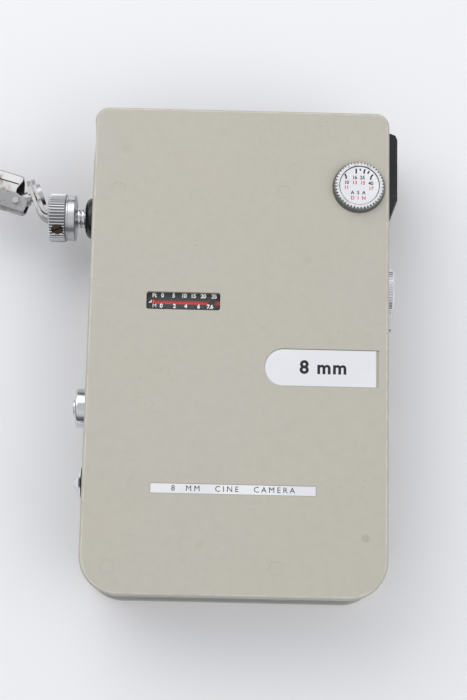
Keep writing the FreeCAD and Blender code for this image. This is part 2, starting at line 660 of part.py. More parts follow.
def gear_studs():
    """Fixed studs of the gears and the claw, and the bridge that holds the shutter pinion's stud."""
    def stud(r, centre, z1):
        foot = rod_z(1.0, PLATE_Z, PLATE_Z + PLATE_T + 0.6, *centre)
        return foot.fuse(rod_z(r, PLATE_Z + 1, z1, *centre)).fuse(rod_z(1.7, z1, z1 + 0.4, *centre))

    x, y = SHUTTER_SHAFT
    top = GEAR_Z[1] + 0.6
    bridge = joined([
        block(x - 1.2, x + 1.2, y - 1.5, y + 8.0, top, top + 0.8),
        block(x - 1.2, x + 1.2, y + 6.0, y + 8.0, PLATE_Z + PLATE_T, top + 0.4),
        rod_z(0.8, 24.1, top + 0.4, x, y),
    ])
    return Part.makeCompound(
        [bridge, stud(0.8, DRIVE, TAKEUP_GEAR_Z[1] + 0.5), stud(1.0, IDLER, GEAR_Z[1] + 0.2)]
        + [rod_z(0.4, PLATE_Z + PLATE_T, 24.8, 30.25, y) for y in CLAW_PIN_Y]
    )


def battery_cells():
    cells = []
    for y in (-65.7, -54.95):
        for z in (8.2, 18.9):
            can = rod_x(5.2, -34.5, 8.9, y, z)
            cells.append(can.fuse(rod_x(1.8, 8.9, 10.0, y, z)))
    return Part.makeCompound(cells)


def battery_contacts():
    return Part.makeCompound([
        block(-35.3, -34.6, -68.0, -51.0, 6.0, 21.0),
        block(10.1, 10.8, -68.0, -51.0, 6.0, 21.0),
    ])


# ---- spindles and take-up spool ----
def supply_spindle():
    return joined([
        rod_z(2.5, 4.2, 24.5, *SUPPLY),
        rod_z(5.0, 21.5, PLATE_Z - GAP, *SUPPLY),
        rod_z(4.0, PLATE_Z + PLATE_T + GAP, 25.0, *SUPPLY),
        block(SUPPLY[0] - 2.9, SUPPLY[0] + 2.9, SUPPLY[1] - 0.6, SUPPLY[1] + 0.6, 5.0, 9.0),
    ])


def takeup_spindle():
    shoulder_z = PLATE_Z + PLATE_T + 0.8
    return joined([
        rod_z(2.5, 4.2, shoulder_z, *TAKEUP),
        rod_z(5.0, 21.5, PLATE_Z - GAP, *TAKEUP),
        rod_z(4.0, PLATE_Z + PLATE_T + GAP, shoulder_z, *TAKEUP),
        rod_z(TAKEUP_NECK_R, shoulder_z, 30.2, *TAKEUP),
        rod_z(4.0, TAKEUP_GEAR_Z[1] + 0.2, 30.2, *TAKEUP),
    ])


def takeup_spool():
    z0, z1 = SPOOL_Z, SPOOL_Z + SPOOL_W
    spool = joined([
        rod_z(SPOOL_R, z0, z0 + 0.9, *TAKEUP),
        rod_z(SPOOL_R, z1 - 0.9, z1, *TAKEUP),
        rod_z(8.0, z0, z1, *TAKEUP),
    ])
    for k in range(3):
        a = math.radians(90 + 120 * k)
        spot = (TAKEUP[0] + 16.5 * math.cos(a), TAKEUP[1] + 16.5 * math.sin(a))
        spool = spool.cut(rod_z(4.5, z0 - 1, z1 + 1, *spot))
    spool = spool.cut(block(TAKEUP[0], TAKEUP[0] + 9, TAKEUP[1] + 5.0, TAKEUP[1] + 5.6, z0 + 0.9, z1 - 0.9))
    return spool.cut(rod_z(2.6, z0 - 1, z1 + 1, *TAKEUP))


# ---- strap fitting ----
def tripod_socket():
    socket = rod_x(4.5, -X_BAND, -38.0, STRAP_Y, AXIS_Z)
    return socket.cut(rod_x(STUD_R + RUN, -X_OUT - 1, -38.6, STRAP_Y, AXIS_Z))


def socket_escutcheon():
    full_r, face_r, depth = 6.4, 4.5, 3.6
    half = [
        V(0, STUD_R + RUN, 0), V(0, full_r, 0), V(-1.4, full_r, 0),
        V(-depth, face_r, 0), V(-depth, STUD_R + RUN, 0),
    ]
    shoulder = Part.Arc(half[2], V(-2.9, full_r - 0.6, 0), half[3]).toShape()
    lines = [Part.LineSegment(a, b).toShape() for a, b in zip(half, half[1:] + half[:1])]
    lines[2] = shoulder
    disc = Part.Face(Part.Wire(lines)).revolve(V(0, 0, 0), X_AXIS, 360)
    disc.translate(V(-X_BAND, STRAP_Y, AXIS_Z))
    return disc


def strap_screw():
    knob = toothed(KNOB_R, KNOB_R - 0.4, 38, 0, 5.7)
    knob = knob.fuse(rod_z(KNOB_R - 0.45, 5.6, 6.0, 0, 0))
    flange = rod_z(FLANGE_R, 5.9, 8.2, 0, 0)
    stud = rod_z(STUD_R, 8.0, 20.4, 0, 0)
    screw = joined([knob, flange, stud])
    screw = screw.cut(rod_z(3.6, -1, 3.4, 0, 0))
    screw = along_x(screw, STRAP_Y, AXIS_Z)
    screw.translate(V(-59.4, 0, 0))
    return screw.cut(set_screw_rod(1.85, 4.2, 9.0))


def set_screw_rod(r, r0, r1):
    out = V(0, -0.71, 0.704)
    return Part.makeCylinder(r, r1 - r0, V(-56.5, STRAP_Y, AXIS_Z) + out * r0, out)


def set_screw():
    screw = set_screw_rod(1.8, 4.2, 7.0)
    slot = block(-1, 1, -0.25, 0.25, -4, 4).rotated(V(0, 0, 0), Y_AXIS, 90)
    slot.rotate(V(0, 0, 0), Z_AXIS, 25)
    slot.rotate(V(0, 0, 0), X_AXIS, 45.2)
    slot.translate(V(-56.5, STRAP_Y, AXIS_Z) + V(0, -0.71, 0.704) * 7.2)
    return screw.cut(slot)


TAB_PATH = [(-56.6, 43.1), (-60.5, 43.2), (-62.3, 44.8), (-66.1, 55.0)]


def strip(path, thickness, z0, z1):
    """A bent strip of sheet along path, with round bends and a round far end."""
    pieces = []
    for (ax, ay), (bx, by) in zip(path, path[1:]):
        length = math.hypot(bx - ax, by - ay)
        leg = block(0, length, -thickness / 2, thickness / 2, z0, z1)
        leg.rotate(V(0, 0, 0), Z_AXIS, math.degrees(math.atan2(by - ay, bx - ax)))
        leg.translate(V(ax, ay, 0))
        pieces.append(leg)
    pieces += [rod_z(thickness / 2, z0, z1, x, y) for x, y in path[1:]]
    return joined(pieces)


# the swivel rivet stands square to the tab's long leg, and its pin carries the clamp
LEG = V(TAB_PATH[3][0] - TAB_PATH[2][0], TAB_PATH[3][1] - TAB_PATH[2][1], 0)
LEG.normalize()
RIVET_DIR = V(-LEG.y, LEG.x, 0)
RIVET_AT = V(TAB_PATH[2][0], TAB_PATH[2][1], AXIS_Z) + LEG * 5.4
PIN_AT = RIVET_AT + RIVET_DIR * 6.3
CLAMP_TILT = 164.0       # heading of the clamp, degrees from +X
CLAMP_W, CLAMP_D, CLAMP_LEN, CLAMP_WALL = 11.5, 6.4, 20.0, 0.8


def strap_tab():
    half = TAB_W / 2
    tab = strip(TAB_PATH, TAB_T, AXIS_Z - half, AXIS_Z + half)
    return tab.cut(Part.makeCylinder(1.4 + RUN, 8, RIVET_AT - RIVET_DIR * 4, RIVET_DIR))


def strap_rivet():
    def disc(r, start, end):
        return Part.makeCylinder(r, end - start, RIVET_AT + RIVET_DIR * start, RIVET_DIR)

    face = TAB_T / 2 + GAP
    rivet = joined([
        disc(3.4, -face - 1.4, -face),
        disc(1.4, -face, 4.0),
        disc(2.15, 2.0, 4.2),
        disc(1.6, 4.2, 7.6),
    ])
    return rivet.cut(rod_z(1.0 + RUN, 0, BODY_T, PIN_AT.x, PIN_AT.y))


def strap_clamp():
    half_w, half_d = CLAMP_W / 2, CLAMP_D / 2
    tube = rounded_prism(-half_d, half_d, -half_w, half_w, [1.2] * 4, -2, CLAMP_LEN)
    hollow = rounded_prism(
        -half_d + CLAMP_WALL, half_d - CLAMP_WALL, -half_w + CLAMP_WALL, half_w - CLAMP_WALL,
        [0.5] * 4, -3, CLAMP_LEN + 1,
    )
    tube = tube.cut(hollow)
    tube.rotate(V(0, 0, 0), Y_AXIS, 90)
    seam = block(1.8, CLAMP_LEN + 1, -2.78, -2.42, 0, 5)
    mouth = prism([(-3, -6), (1.5, -6), (2.0, -2.6), (1.6, 0.9), (-3, 0.9)], 0, 5)
    tube = tube.cut(seam).cut(mouth)
    tube.rotate(V(0, 0, 0), Z_AXIS, CLAMP_TILT)
    tube.translate(V(-68.2, 49.85, AXIS_Z))
    tube = tube.cut(block(-68.15, -60, 40, 65, 0, BODY_T))
    return tube.cut(rod_z(1.0, 0, BODY_T, PIN_AT.x, PIN_AT.y))


def clamp_pin():
    return rod_z(1.0, AXIS_Z - CLAMP_D / 2 - 0.2, AXIS_Z + CLAMP_D / 2 + 0.2, PIN_AT.x, PIN_AT.y)


# ---- release button, its lock ring and the door latch ----
def release_bush():
    bush = joined([
        rod_x(5.2, -45.4, -X_BAND, RELEASE_Y, AXIS_Z),
        rod_x(3.95, -47.4, -41.9, RELEASE_Y, AXIS_Z),
    ])
    bush = bush.cut(rod_x(BUTTON_R + RUN, -50, -43.9, RELEASE_Y, AXIS_Z))
    return bush.cut(rod_x(1.5 + RUN, -50, -41, RELEASE_Y, AXIS_Z))


def release_button():
    cap = rod_x(BUTTON_R, -49.7, -46.2, RELEASE_Y, AXIS_Z)
    cap = cap.makeFillet(0.5, edges_at_x(cap, -49.7))
    return joined([
        cap,
        rod_x(1.5, -46.4, -40.6, RELEASE_Y, AXIS_Z),
        rod_x(2.4, -41.7, -41.1, RELEASE_Y, AXIS_Z),
    ])


def button_spring():
    """Drawn at its pressed height."""
    return rod_x(2.5, -44.35, -43.95, RELEASE_Y, AXIS_Z).cut(rod_x(1.7, -45, -43, RELEASE_Y, AXIS_Z))


def lock_ring():
    ring = rod_x(LOCK_RING_R, -48.9, -45.6, RELEASE_Y, AXIS_Z)
    ring = ring.makeFillet(0.9, edges_at_x(ring, -48.9))
    ring = ring.cut(rod_x(3.95 + RUN, -47.5, -45, RELEASE_Y, AXIS_Z))
    return ring.cut(rod_x(BUTTON_R + 0.1, -50, -45, RELEASE_Y, AXIS_Z))


def latch_base():
    base = rod_x(4.2, -46.2, -X_BAND, LATCH_Y, AXIS_Z).fuse(rod_x(1.95, -45, -42.0, LATCH_Y, AXIS_Z))
    return base.cut(rod_x(1.2 + RUN, -47, -41, LATCH_Y, AXIS_Z))


def latch_knob():
    disc = Part.makeCone(LATCH_R, LATCH_R - 0.5, 0.6, V(0, 0, 0), Z_AXIS)
    hub = Part.makeCone(3.4, 1.0, 1.9, V(0, 0, 0.5), Z_AXIS)
    knob = disc.fuse(hub)
    knob.rotate(V(0, 0, 0), Y_AXIS, -90)
    knob.translate(V(-46.3, LATCH_Y, AXIS_Z))
    return knob.fuse(rod_x(1.2, -46.4, -41.1, LATCH_Y, AXIS_Z))


def latch_arm():
    """Drawn in the locked pose, pointing at the door, then turned back to the open pose."""
    x0, x1 = -41.9, -41.1
    arm = joined([
        rod_x(2.2, x0, x1, LATCH_Y, AXIS_Z),
        block(x0, x1, LATCH_Y - 1.6, LATCH_Y + 1.6, 6.2, AXIS_Z),
        block(x0, x1, LATCH_Y - 4.1, LATCH_Y, 6.2, 8.0),
    ])
    arm = arm.cut(rod_x(1.2, -43, -40, LATCH_Y, AXIS_Z))
    arm.rotate(V(0, LATCH_Y, AXIS_Z), X_AXIS, 90)
    return arm


BUILDERS = [
    mechanism_cover, body_frame, chassis, film_door, hinge_pin, mechanism_plate, cover_screws,
    cover_studs, name_plate, lower_plate, dial_rim, dial_face, counter_glass, counter_scale,
    counter_pointer, front_bezel, light_cell, cell_window, finder_tube, eyepiece_ring,
    finder_lenses, front_element, rear_element, lens_barrel, lens_ring, film_gate,
    pressure_plate, gate_springs, claw, shutter_bracket, shutter_disc, meter_movement,
    aperture_vane, motor, motor_pinion, drive_gear, takeup_gear, idler_gear, shutter_pinion,
    gear_studs, battery_cells, battery_contacts, supply_spindle, takeup_spindle, takeup_spool,
    tripod_socket, socket_escutcheon, strap_screw, set_screw, strap_tab, strap_rivet,
    strap_clamp, clamp_pin, release_bush, release_button, button_spring, lock_ring,
    latch_base, latch_knob, latch_arm,
]


def main():
    os.makedirs("parts", exist_ok=True)
    for build in BUILDERS:
        save(build.__name__, build())


main()
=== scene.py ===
import json
import math

import bmesh
import bpy
from mathutils import Matrix, Vector


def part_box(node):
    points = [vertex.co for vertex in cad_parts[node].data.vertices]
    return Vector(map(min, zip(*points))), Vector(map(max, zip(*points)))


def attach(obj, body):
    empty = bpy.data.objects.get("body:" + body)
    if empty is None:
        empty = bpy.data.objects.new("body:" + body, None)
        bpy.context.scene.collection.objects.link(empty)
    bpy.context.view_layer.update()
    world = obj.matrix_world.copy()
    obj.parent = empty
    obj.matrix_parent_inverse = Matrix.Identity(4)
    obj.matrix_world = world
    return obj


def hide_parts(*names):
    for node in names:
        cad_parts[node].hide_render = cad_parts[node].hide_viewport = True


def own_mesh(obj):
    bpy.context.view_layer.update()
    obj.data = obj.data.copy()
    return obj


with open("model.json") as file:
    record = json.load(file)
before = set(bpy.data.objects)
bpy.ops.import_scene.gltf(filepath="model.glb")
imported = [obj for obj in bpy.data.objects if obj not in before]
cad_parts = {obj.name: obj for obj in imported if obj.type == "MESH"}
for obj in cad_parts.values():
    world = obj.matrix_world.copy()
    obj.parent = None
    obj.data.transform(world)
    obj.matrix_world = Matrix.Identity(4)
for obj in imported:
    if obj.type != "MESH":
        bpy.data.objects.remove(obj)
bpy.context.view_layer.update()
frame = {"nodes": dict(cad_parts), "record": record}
NODES = frame["nodes"]

# Looks of a slim 8 mm cine camera lying on its film door, in the CAD frame: +X is the lens
# side, +Y the camera's top, +Z out of the mechanism cover. Shapes are drawn in mm and scaled
# to metres, and materials and lights are in metres.
MM = 0.001
COVER_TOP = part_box("mechanism_cover")[1].z
AXIS_Z = COVER_TOP / 2          # mid-plane of the body, where the strap screw and buttons sit
STRAP_Y = 43.1                  # axis of the strap screw, mm
DIAL_AT = (35.65, 50.0)         # axis of the film-speed dial, mm

# enamel colours, linear
ENAMEL = (0.545, 0.522, 0.455)
ENAMEL_WARM = (0.535, 0.515, 0.435)
ENAMEL_DARK = (0.475, 0.455, 0.395)
ENAMEL_PINK = (0.565, 0.510, 0.445)
# pale colour for the scuffs, and for the painted highlight along the cover's rim
ENAMEL_WEAR_AND_HIGHLIGHT = (0.68, 0.66, 0.60)
# painted shade for the cover's side walls
ENAMEL_SIDE_SHADE = (0.46, 0.43, 0.34)
ENAMEL_SPECK = (0.24, 0.19, 0.13)
RUST = (0.24, 0.125, 0.045)
DUST = (0.42, 0.40, 0.36)

# flush studs in the cover, and the fine line round each
STUD_SPOTS = [(-0.0372, 0.0480), (0.0128, 0.0482), (-0.0367, -0.0658), (0.0122, -0.0653)]
STUD_RING = (0.00186, 0.00214)

# faint stains on the cover: x, y, radius, strength, colour
STAINS = [
    (0.0382, -0.0561, 0.0012, 0.30, (0.30, 0.27, 0.22)),
    (-0.0350, 0.0610, 0.0016, 0.18, (0.40, 0.36, 0.29)),
    (0.0205, 0.0270, 0.0010, 0.16, (0.38, 0.34, 0.27)),
    (-0.0100, -0.0590, 0.0014, 0.14, (0.40, 0.36, 0.28)),
]


# ---- building materials from nodes ----
class Paint:
    """A material under construction: short helpers that add nodes and wire them."""

    def __init__(self, name, color, roughness, metallic=0.0):
        self.name = name
        self.material = bpy.data.materials.new(name)
        self.material.use_nodes = True
        self.tree = self.material.node_tree
        self.shader = self.tree.nodes["Principled BSDF"]
        self.set("Base Color", (*color, 1.0))
        self.set("Roughness", roughness)
        self.set("Metallic", metallic)
        self.coords = self.add("ShaderNodeTexCoord")

    def add(self, kind, **settings):
        node = self.tree.nodes.new(kind)
        for key, value in settings.items():
            setattr(node, key, value)
        return node

    def feed(self, socket, value):
        if isinstance(value, bpy.types.NodeSocket):
            self.tree.links.new(value, socket)
        else:
            socket.default_value = value

    def set(self, socket, value):
        self.feed(self.shader.inputs[socket], value)

    def tint(self):
        """The colour wired so far, to mix more into."""
        return self.shader.inputs["Base Color"].links[0].from_socket

    def math(self, operation, a, b=0.0, clamp=False):
        node = self.add("ShaderNodeMath", operation=operation, use_clamp=clamp)
        self.feed(node.inputs[0], a)
        self.feed(node.inputs[1], b)
        return node.outputs[0]

    def place(self, stretch=(1.0, 1.0, 1.0), turn=(0.0, 0.0, 0.0)):
        """Object coordinates, stretched and turned."""
        node = self.add("ShaderNodeMapping")
        self.tree.links.new(self.coords.outputs["Object"], node.inputs["Vector"])
        node.inputs["Scale"].default_value = stretch
        node.inputs["Rotation"].default_value = turn
        return node.outputs[0]

    def axis(self, name, source="Object"):
        """One object coordinate in metres, or one part of the surface normal."""
        node = self.add("ShaderNodeSeparateXYZ")
        self.tree.links.new(self.coords.outputs[source], node.inputs[0])
        return node.outputs[name]

    def noise(self, scale, detail=3.0, roughness=0.5, where=None):
        node = self.add("ShaderNodeTexNoise")
        self.feed(node.inputs["Vector"], where or self.coords.outputs["Object"])
        node.inputs["Scale"].default_value = scale
        node.inputs["Detail"].default_value = detail
        node.inputs["Roughness"].default_value = roughness
        return node.outputs["Fac"]

    def cells(self, scale):
        """Distance to the nearest of many scattered points."""
        node = self.add("ShaderNodeTexVoronoi", feature="F1")
        self.feed(node.inputs["Vector"], self.coords.outputs["Object"])
        node.inputs["Scale"].default_value = scale
        return node.outputs["Distance"]

    def between(self, value, low, high, out_low=0.0, out_high=1.0):
        """value from low to high, mapped to out_low to out_high and held there."""
        node = self.add("ShaderNodeMapRange", interpolation_type="SMOOTHSTEP")
        self.feed(node.inputs["Value"], value)
        limits = (("From Min", low), ("From Max", high), ("To Min", out_low), ("To Max", out_high))
        for name, number in limits:
            node.inputs[name].default_value = number
        return node.outputs[0]

    def mix(self, share, a, b):
        """Colour a, with share of it replaced by colour b."""
        node = self.add("ShaderNodeMix", data_type="RGBA")
        self.feed(node.inputs[0], share)
        for socket, value in ((node.inputs[6], a), (node.inputs[7], b)):
            self.feed(socket, (*value, 1.0) if isinstance(value, tuple) else value)
        return node.outputs[2]

    def bump(self, height, distance, strength=1.0):
        """Adds a bump over any earlier one."""
        node = self.add("ShaderNodeBump")
        node.inputs["Distance"].default_value = distance
        node.inputs["Strength"].default_value = strength
        self.feed(node.inputs["Height"], height)
        earlier = self.shader.inputs["Normal"]
        if earlier.is_linked:
            self.tree.links.new(earlier.links[0].from_socket, node.inputs["Normal"])
        self.tree.links.new(node.outputs[0], earlier)

    def scratches(self, turn, scale, width, stretch=26.0):
        """A sparse mask of fine straight scratches in one direction."""
        where = self.place((1.0, stretch, 1.0), (0.0, 0.0, turn))
        lines = self.between(self.noise(scale, 1.0, 0.4, where), 0.66, 0.66 + width)
        patches = self.between(self.noise(scale * 0.35, 2.0), 0.52, 0.62)
        return self.math("MULTIPLY", lines, patches)

    def inside(self, name, low, high, soft=0.00005):
        """A mask that is 1 where an object coordinate lies between low and high."""
        value = self.axis(name)
        rise = self.between(value, low - soft, low + soft)
        fall = self.between(value, high - soft, high + soft, 1.0, 0.0)
        return self.math("MULTIPLY", rise, fall)

    def radius(self, axes, centre):
        """Distance from a line through centre, square to the two named axes."""
        a, b = (self.math("SUBTRACT", self.axis(name), at) for name, at in zip(axes, centre))
        square = self.math("ADD", self.math("MULTIPLY", a, a), self.math("MULTIPLY", b, b))
        return self.math("SQRT", square)

    def ring(self, centre, inner, outer):
        """A mask that is 1 between two radii about a vertical line."""
        r = self.radius("XY", centre)
        soft = 0.25 * (outer - inner)
        mask = self.between(r, outer - soft, outer + soft, 1.0, 0.0)
        if inner:
            mask = self.math("MULTIPLY", mask, self.between(r, inner - soft, inner + soft))
        return mask


# ---- materials ----
def enamel(name, outer_sign):
    """Warm grey baked enamel with pores and faint stains, a paler painted highlight along the start of
    the rounded rim, and painted shade on the side walls.
    """
    paint = Paint(name, ENAMEL, 0.44)
    broad = paint.between(paint.noise(16, 3.0), 0.35, 0.68)
    color = paint.mix(paint.math("MULTIPLY", broad, 0.4), ENAMEL, ENAMEL_WARM)
    fine = paint.between(paint.noise(420, 4.0, 0.65), 0.4, 0.65)
    color = paint.mix(paint.math("MULTIPLY", fine, 0.22), color, ENAMEL_DARK)
    pink = paint.math("MULTIPLY", paint.between(paint.noise(31, 2.0), 0.58, 0.74), 0.2)
    color = paint.mix(pink, color, ENAMEL_PINK)

    flat = paint.math("MULTIPLY", paint.axis("Z", "Normal"), outer_sign)
    # painted highlight: an uneven paler line where the flat face turns into the rounded rim
    rim_highlight = paint.between(flat, 0.78, 0.93)
    rim_highlight = paint.math("MULTIPLY", rim_highlight, paint.between(flat, 0.965, 0.995, 1.0, 0.0))
    uneven = paint.between(paint.noise(230, 3.0), 0.35, 0.6, 0.3, 1.0)
    color = paint.mix(paint.math("MULTIPLY", rim_highlight, uneven), color, ENAMEL_WEAR_AND_HIGHLIGHT)
    # painted shade: faces turned away from the flat face are darkened, as side walls in shade
    color = paint.mix(paint.between(flat, 0.2, 0.75, 0.42, 0.0), color, ENAMEL_SIDE_SHADE)

    specks = paint.between(paint.cells(520), 0.05, 0.12, 1.0, 0.0)
    sparse = paint.between(paint.noise(70, 2.0), 0.56, 0.6)
    specks = paint.math("MULTIPLY", specks, sparse)
    color = paint.mix(paint.math("MULTIPLY", specks, 0.5), color, ENAMEL_SPECK)
    marks = [paint.scratches(turn, 150, 0.02) for turn in (0.35, 1.25, -0.8)]
    scuffs = paint.math("MAXIMUM", marks[0], paint.math("MAXIMUM", marks[1], marks[2]))
    color = paint.mix(paint.math("MULTIPLY", scuffs, 0.10), color, ENAMEL_WEAR_AND_HIGHLIGHT)

    for spot in STUD_SPOTS:
        line = paint.math("MULTIPLY", paint.ring(spot, *STUD_RING), 0.62)
        color = paint.mix(line, color, ENAMEL_DARK)
    for x, y, r, share, stain in STAINS:
        spot = paint.math("MULTIPLY", paint.ring((x, y), 0.0, r), share)
        color = paint.mix(spot, color, stain)

    paint.set("Base Color", color)
    paint.set("Roughness", paint.between(paint.noise(60, 4.0), 0.3, 0.7, 0.36, 0.54))
    paint.bump(paint.noise(900, 4.0, 0.6), 0.00005, 0.35)
    paint.bump(paint.math("MULTIPLY", specks, -1.0), 0.00006, 0.5)
    paint.bump(paint.math("MULTIPLY", scuffs, -1.0), 0.00001, 0.15)
    paint.bump(paint.noise(28, 2.0), 0.0003, 0.12)
    return paint


def metal(name, color, rough, grain=(1.0, 1.0, 1.0), grain_scale=600, rust=0.0, smudge=0.12, age=0.55):
    """Bare or plated metal with a directional grain, smudges and, if asked, rust pits."""
    paint = Paint(name, color, rough, 1.0)
    grained = paint.noise(grain_scale, 3.0, 0.55, paint.place(grain))
    dull = tuple(0.72 * c for c in color)
    tint = paint.mix(paint.between(paint.noise(95, 4.0), 0.42, 0.75, 0.0, age), color, dull)
    finish = paint.between(paint.noise(130, 3.0), 0.35, 0.7, rough, rough + smudge)
    if rust:
        spread = paint.between(paint.noise(330, 5.0, 0.6), 0.62 - 0.1 * rust, 0.70)
        pits = paint.between(paint.cells(900), 0.12, 0.22, 1.0, 0.0)
        patches = paint.between(paint.noise(120, 2.0), 0.55, 0.62)
        mask = paint.math("MAXIMUM", spread, paint.math("MULTIPLY", pits, patches))
        mask = paint.math("MULTIPLY", mask, rust, True)
        tint = paint.mix(mask, tint, RUST)
        finish = paint.math("MAXIMUM", finish, paint.math("MULTIPLY", mask, 0.75))
        paint.set("Metallic", paint.between(mask, 0.0, 0.6, 1.0, 0.15))
        paint.bump(mask, 0.00005, 0.5)
    paint.set("Base Color", tint)
    paint.set("Roughness", finish)
    paint.bump(grained, 0.00003, 0.35)
    return paint


def plastic(name, color, rough, texture=0.2, wear=0.0):
    """Moulded plastic or sprayed paint: fine texture, dust and, if asked, rubbed scratches."""
    paint = Paint(name, color, rough)
    light = tuple(min(1.0, c * 1.25 + 0.012) for c in color)
    tint = paint.mix(paint.between(paint.noise(45, 4.0), 0.4, 0.75, 0.0, 0.5), color, light)
    dust = paint.between(paint.cells(1300), 0.03, 0.07, 1.0, 0.0)
    dust = paint.math("MULTIPLY", dust, paint.between(paint.noise(150, 2.0), 0.55, 0.62))
    tint = paint.mix(paint.math("MULTIPLY", dust, 0.35), tint, DUST)
    if wear:
        rubbed = paint.scratches(0.6, 260, 0.03, 18.0)
        tint = paint.mix(paint.math("MULTIPLY", rubbed, wear), tint, (0.35, 0.33, 0.30))
    paint.set("Base Color", tint)
    paint.set("Roughness", paint.between(paint.noise(70, 4.0), 0.35, 0.7, rough, rough + 0.14))
    paint.bump(paint.noise(1400, 3.0), 0.00004, texture)
    return paint


def clear(name, color, alpha, rough):
    """Glass or clear plastic with a faint haze."""
    paint = Paint(name, color, rough)
    paint.set("Alpha", alpha)
    paint.set("IOR", 1.5)
    paint.set("Roughness", paint.between(paint.noise(90, 3.0), 0.4, 0.75, rough, rough + 0.1))
    paint.bump(paint.noise(500, 2.0), 0.00002, 0.1)
    return paint


def band_steel():
    """Satin steel band: brushed along its length, with a painted highlight along both edges and a
    painted shadow in the gap under the cover.
    """
    door_edge_highlight, cover_edge_highlight, cover_gap_shadow = (0.0035, 0.0047), (0.0280, 0.0290), (0.0291, 0.0306)
    paint = metal("band_steel", (0.215, 0.21, 0.225), 0.36, (1.0, 1.0, 30.0), 220, smudge=0.05, age=0.18)
    # painted highlight: a pale line along each edge of the band
    edge_highlights = paint.math("MAXIMUM", paint.inside("Z", *cover_edge_highlight), paint.inside("Z", *door_edge_highlight))
    color = paint.mix(paint.math("MULTIPLY", edge_highlights, 0.8), paint.tint(), (0.62, 0.61, 0.61))
    # painted shadow: a near-black strip on the band just under the cover's rim
    color = paint.mix(paint.inside("Z", *cover_gap_shadow), color, (0.03, 0.03, 0.03))
    streaks = paint.noise(26, 2.0, 0.5, paint.place((1.0, 1.0, 4.0)))
    warm = paint.between(streaks, 0.55, 0.75, 0.0, 0.15)
    low = paint.between(paint.axis("Z"), 0.006, 0.024, 1.0, 0.2)
    color = paint.mix(paint.math("MULTIPLY", warm, low), color, (0.36, 0.27, 0.20))
    paint.set("Base Color", color)
    return paint


def knurled_chrome():
    """Plated knob: bright crests, with grey grime down in the grooves of the knurl."""
    knurl_x, root_r, crest_r = (-0.0590, -0.0540), 0.00712, 0.00738
    paint = metal("knurled_chrome", (0.62, 0.63, 0.65), 0.24, (14.0, 1.0, 1.0), 500, rust=0.2)
    r = paint.radius("YZ", (STRAP_Y * MM, AXIS_Z))
    groove = paint.between(r, root_r, crest_r, 1.0, 0.0)
    mask = paint.math("MULTIPLY", groove, paint.inside("X", *knurl_x))
    mask = paint.math("MULTIPLY", mask, 0.8)
    paint.set("Base Color", paint.mix(mask, paint.tint(), (0.13, 0.13, 0.13)))
    return paint


def dial_silver():
    """Turned aluminium rim: bright crown, darker sloping skirt, grime between the teeth."""
    skirt_z = (COVER_TOP - 0.0040, COVER_TOP + 0.0019)
    paint = metal("dial_silver", (0.88, 0.89, 0.91), 0.32, (1.0, 1.0, 9.0), 500)
    skirt = paint.math("MULTIPLY", paint.inside("Z", *skirt_z), 0.9)
    color = paint.mix(skirt, paint.tint(), (0.15, 0.15, 0.145))
    grime = paint.math("MULTIPLY", paint.between(paint.noise(800, 3.0), 0.5, 0.7), 0.35)
    paint.set("Base Color", paint.mix(grime, color, (0.20, 0.18, 0.15)))
    return paint


def scale_black():
    """The counter's dark scale plate, with its red line along the pointer's slot."""
    line_x, line_y, line_z = (-0.0259, -0.0050), (0.01296, 0.01394), (0.0305, 0.0309)
    paint = plastic("scale_black", (0.040, 0.040, 0.046), 0.5, 0.25)
    mask = paint.math("MULTIPLY", paint.inside("Y", *line_y), paint.inside("X", *line_x))
    mask = paint.math("MULTIPLY", mask, paint.between(paint.axis("Z"), *line_z))
    red = paint.mix(paint.noise(300, 3.0), (0.90, 0.075, 0.045), (0.78, 0.060, 0.038))
    paint.set("Base Color", paint.mix(mask, paint.tint(), red))
    return paint


def cell_jacket():
    """Battery cases: a dark jacket with a lighter band and bare metal ends."""
    jacket = (0.05, 0.07, 0.12)
    caps_x, band_x = ((-0.0360, -0.0335), (0.0079, 0.0110)), (-0.0160, -0.0060)
    paint = Paint("cell_jacket", jacket, 0.35)
    ends = paint.math("MAXIMUM", *(paint.inside("X", *cap) for cap in caps_x))
    print_wear = paint.between(paint.noise(240, 3.0), 0.3, 0.6, 0.7, 1.0)
    band = paint.math("MULTIPLY", paint.inside("X", *band_x), print_wear)
    color = paint.mix(band, jacket, (0.55, 0.42, 0.12))
    paint.set("Base Color", paint.mix(ends, color, (0.62, 0.62, 0.63)))
    paint.set("Metallic", ends)
    paint.set("Roughness", paint.between(paint.noise(150, 3.0), 0.3, 0.7, 0.25, 0.45))
    paint.bump(paint.noise(900, 2.0), 0.00003, 0.2)
    return paint


def selenium():
    """Light cell: a dark iridescent layer with fine collector lines."""
    paint = Paint("selenium", (0.035, 0.028, 0.045), 0.3, 0.3)
    wave = paint.add("ShaderNodeTexWave", bands_direction="Z")
    paint.feed(wave.inputs["Vector"], paint.coords.outputs["Object"])
    wave.inputs["Scale"].default_value = 420
    lines = paint.between(wave.outputs["Fac"], 0.86, 0.94, 0.0, 0.5)
    tint = paint.mix(paint.noise(120, 3.0), (0.030, 0.024, 0.045), (0.060, 0.035, 0.050))
    paint.set("Base Color", paint.mix(lines, tint, (0.35, 0.30, 0.25)))
    paint.bump(lines, 0.00003, 0.3)
    return paint


def ink(name, color):
    """Printed lettering, slightly uneven."""
    paint = Paint(name, color, 0.5)
    faded = tuple(min(1.0, c * 0.85 + 0.012) for c in color)
    spots = paint.between(paint.noise(2200, 3.0), 0.45, 0.75, 0.0, 0.6)
    paint.set("Base Color", paint.mix(spots, color, faded))
    paint.bump(paint.noise(3000, 2.0), 0.00001, 0.3)
    return paint


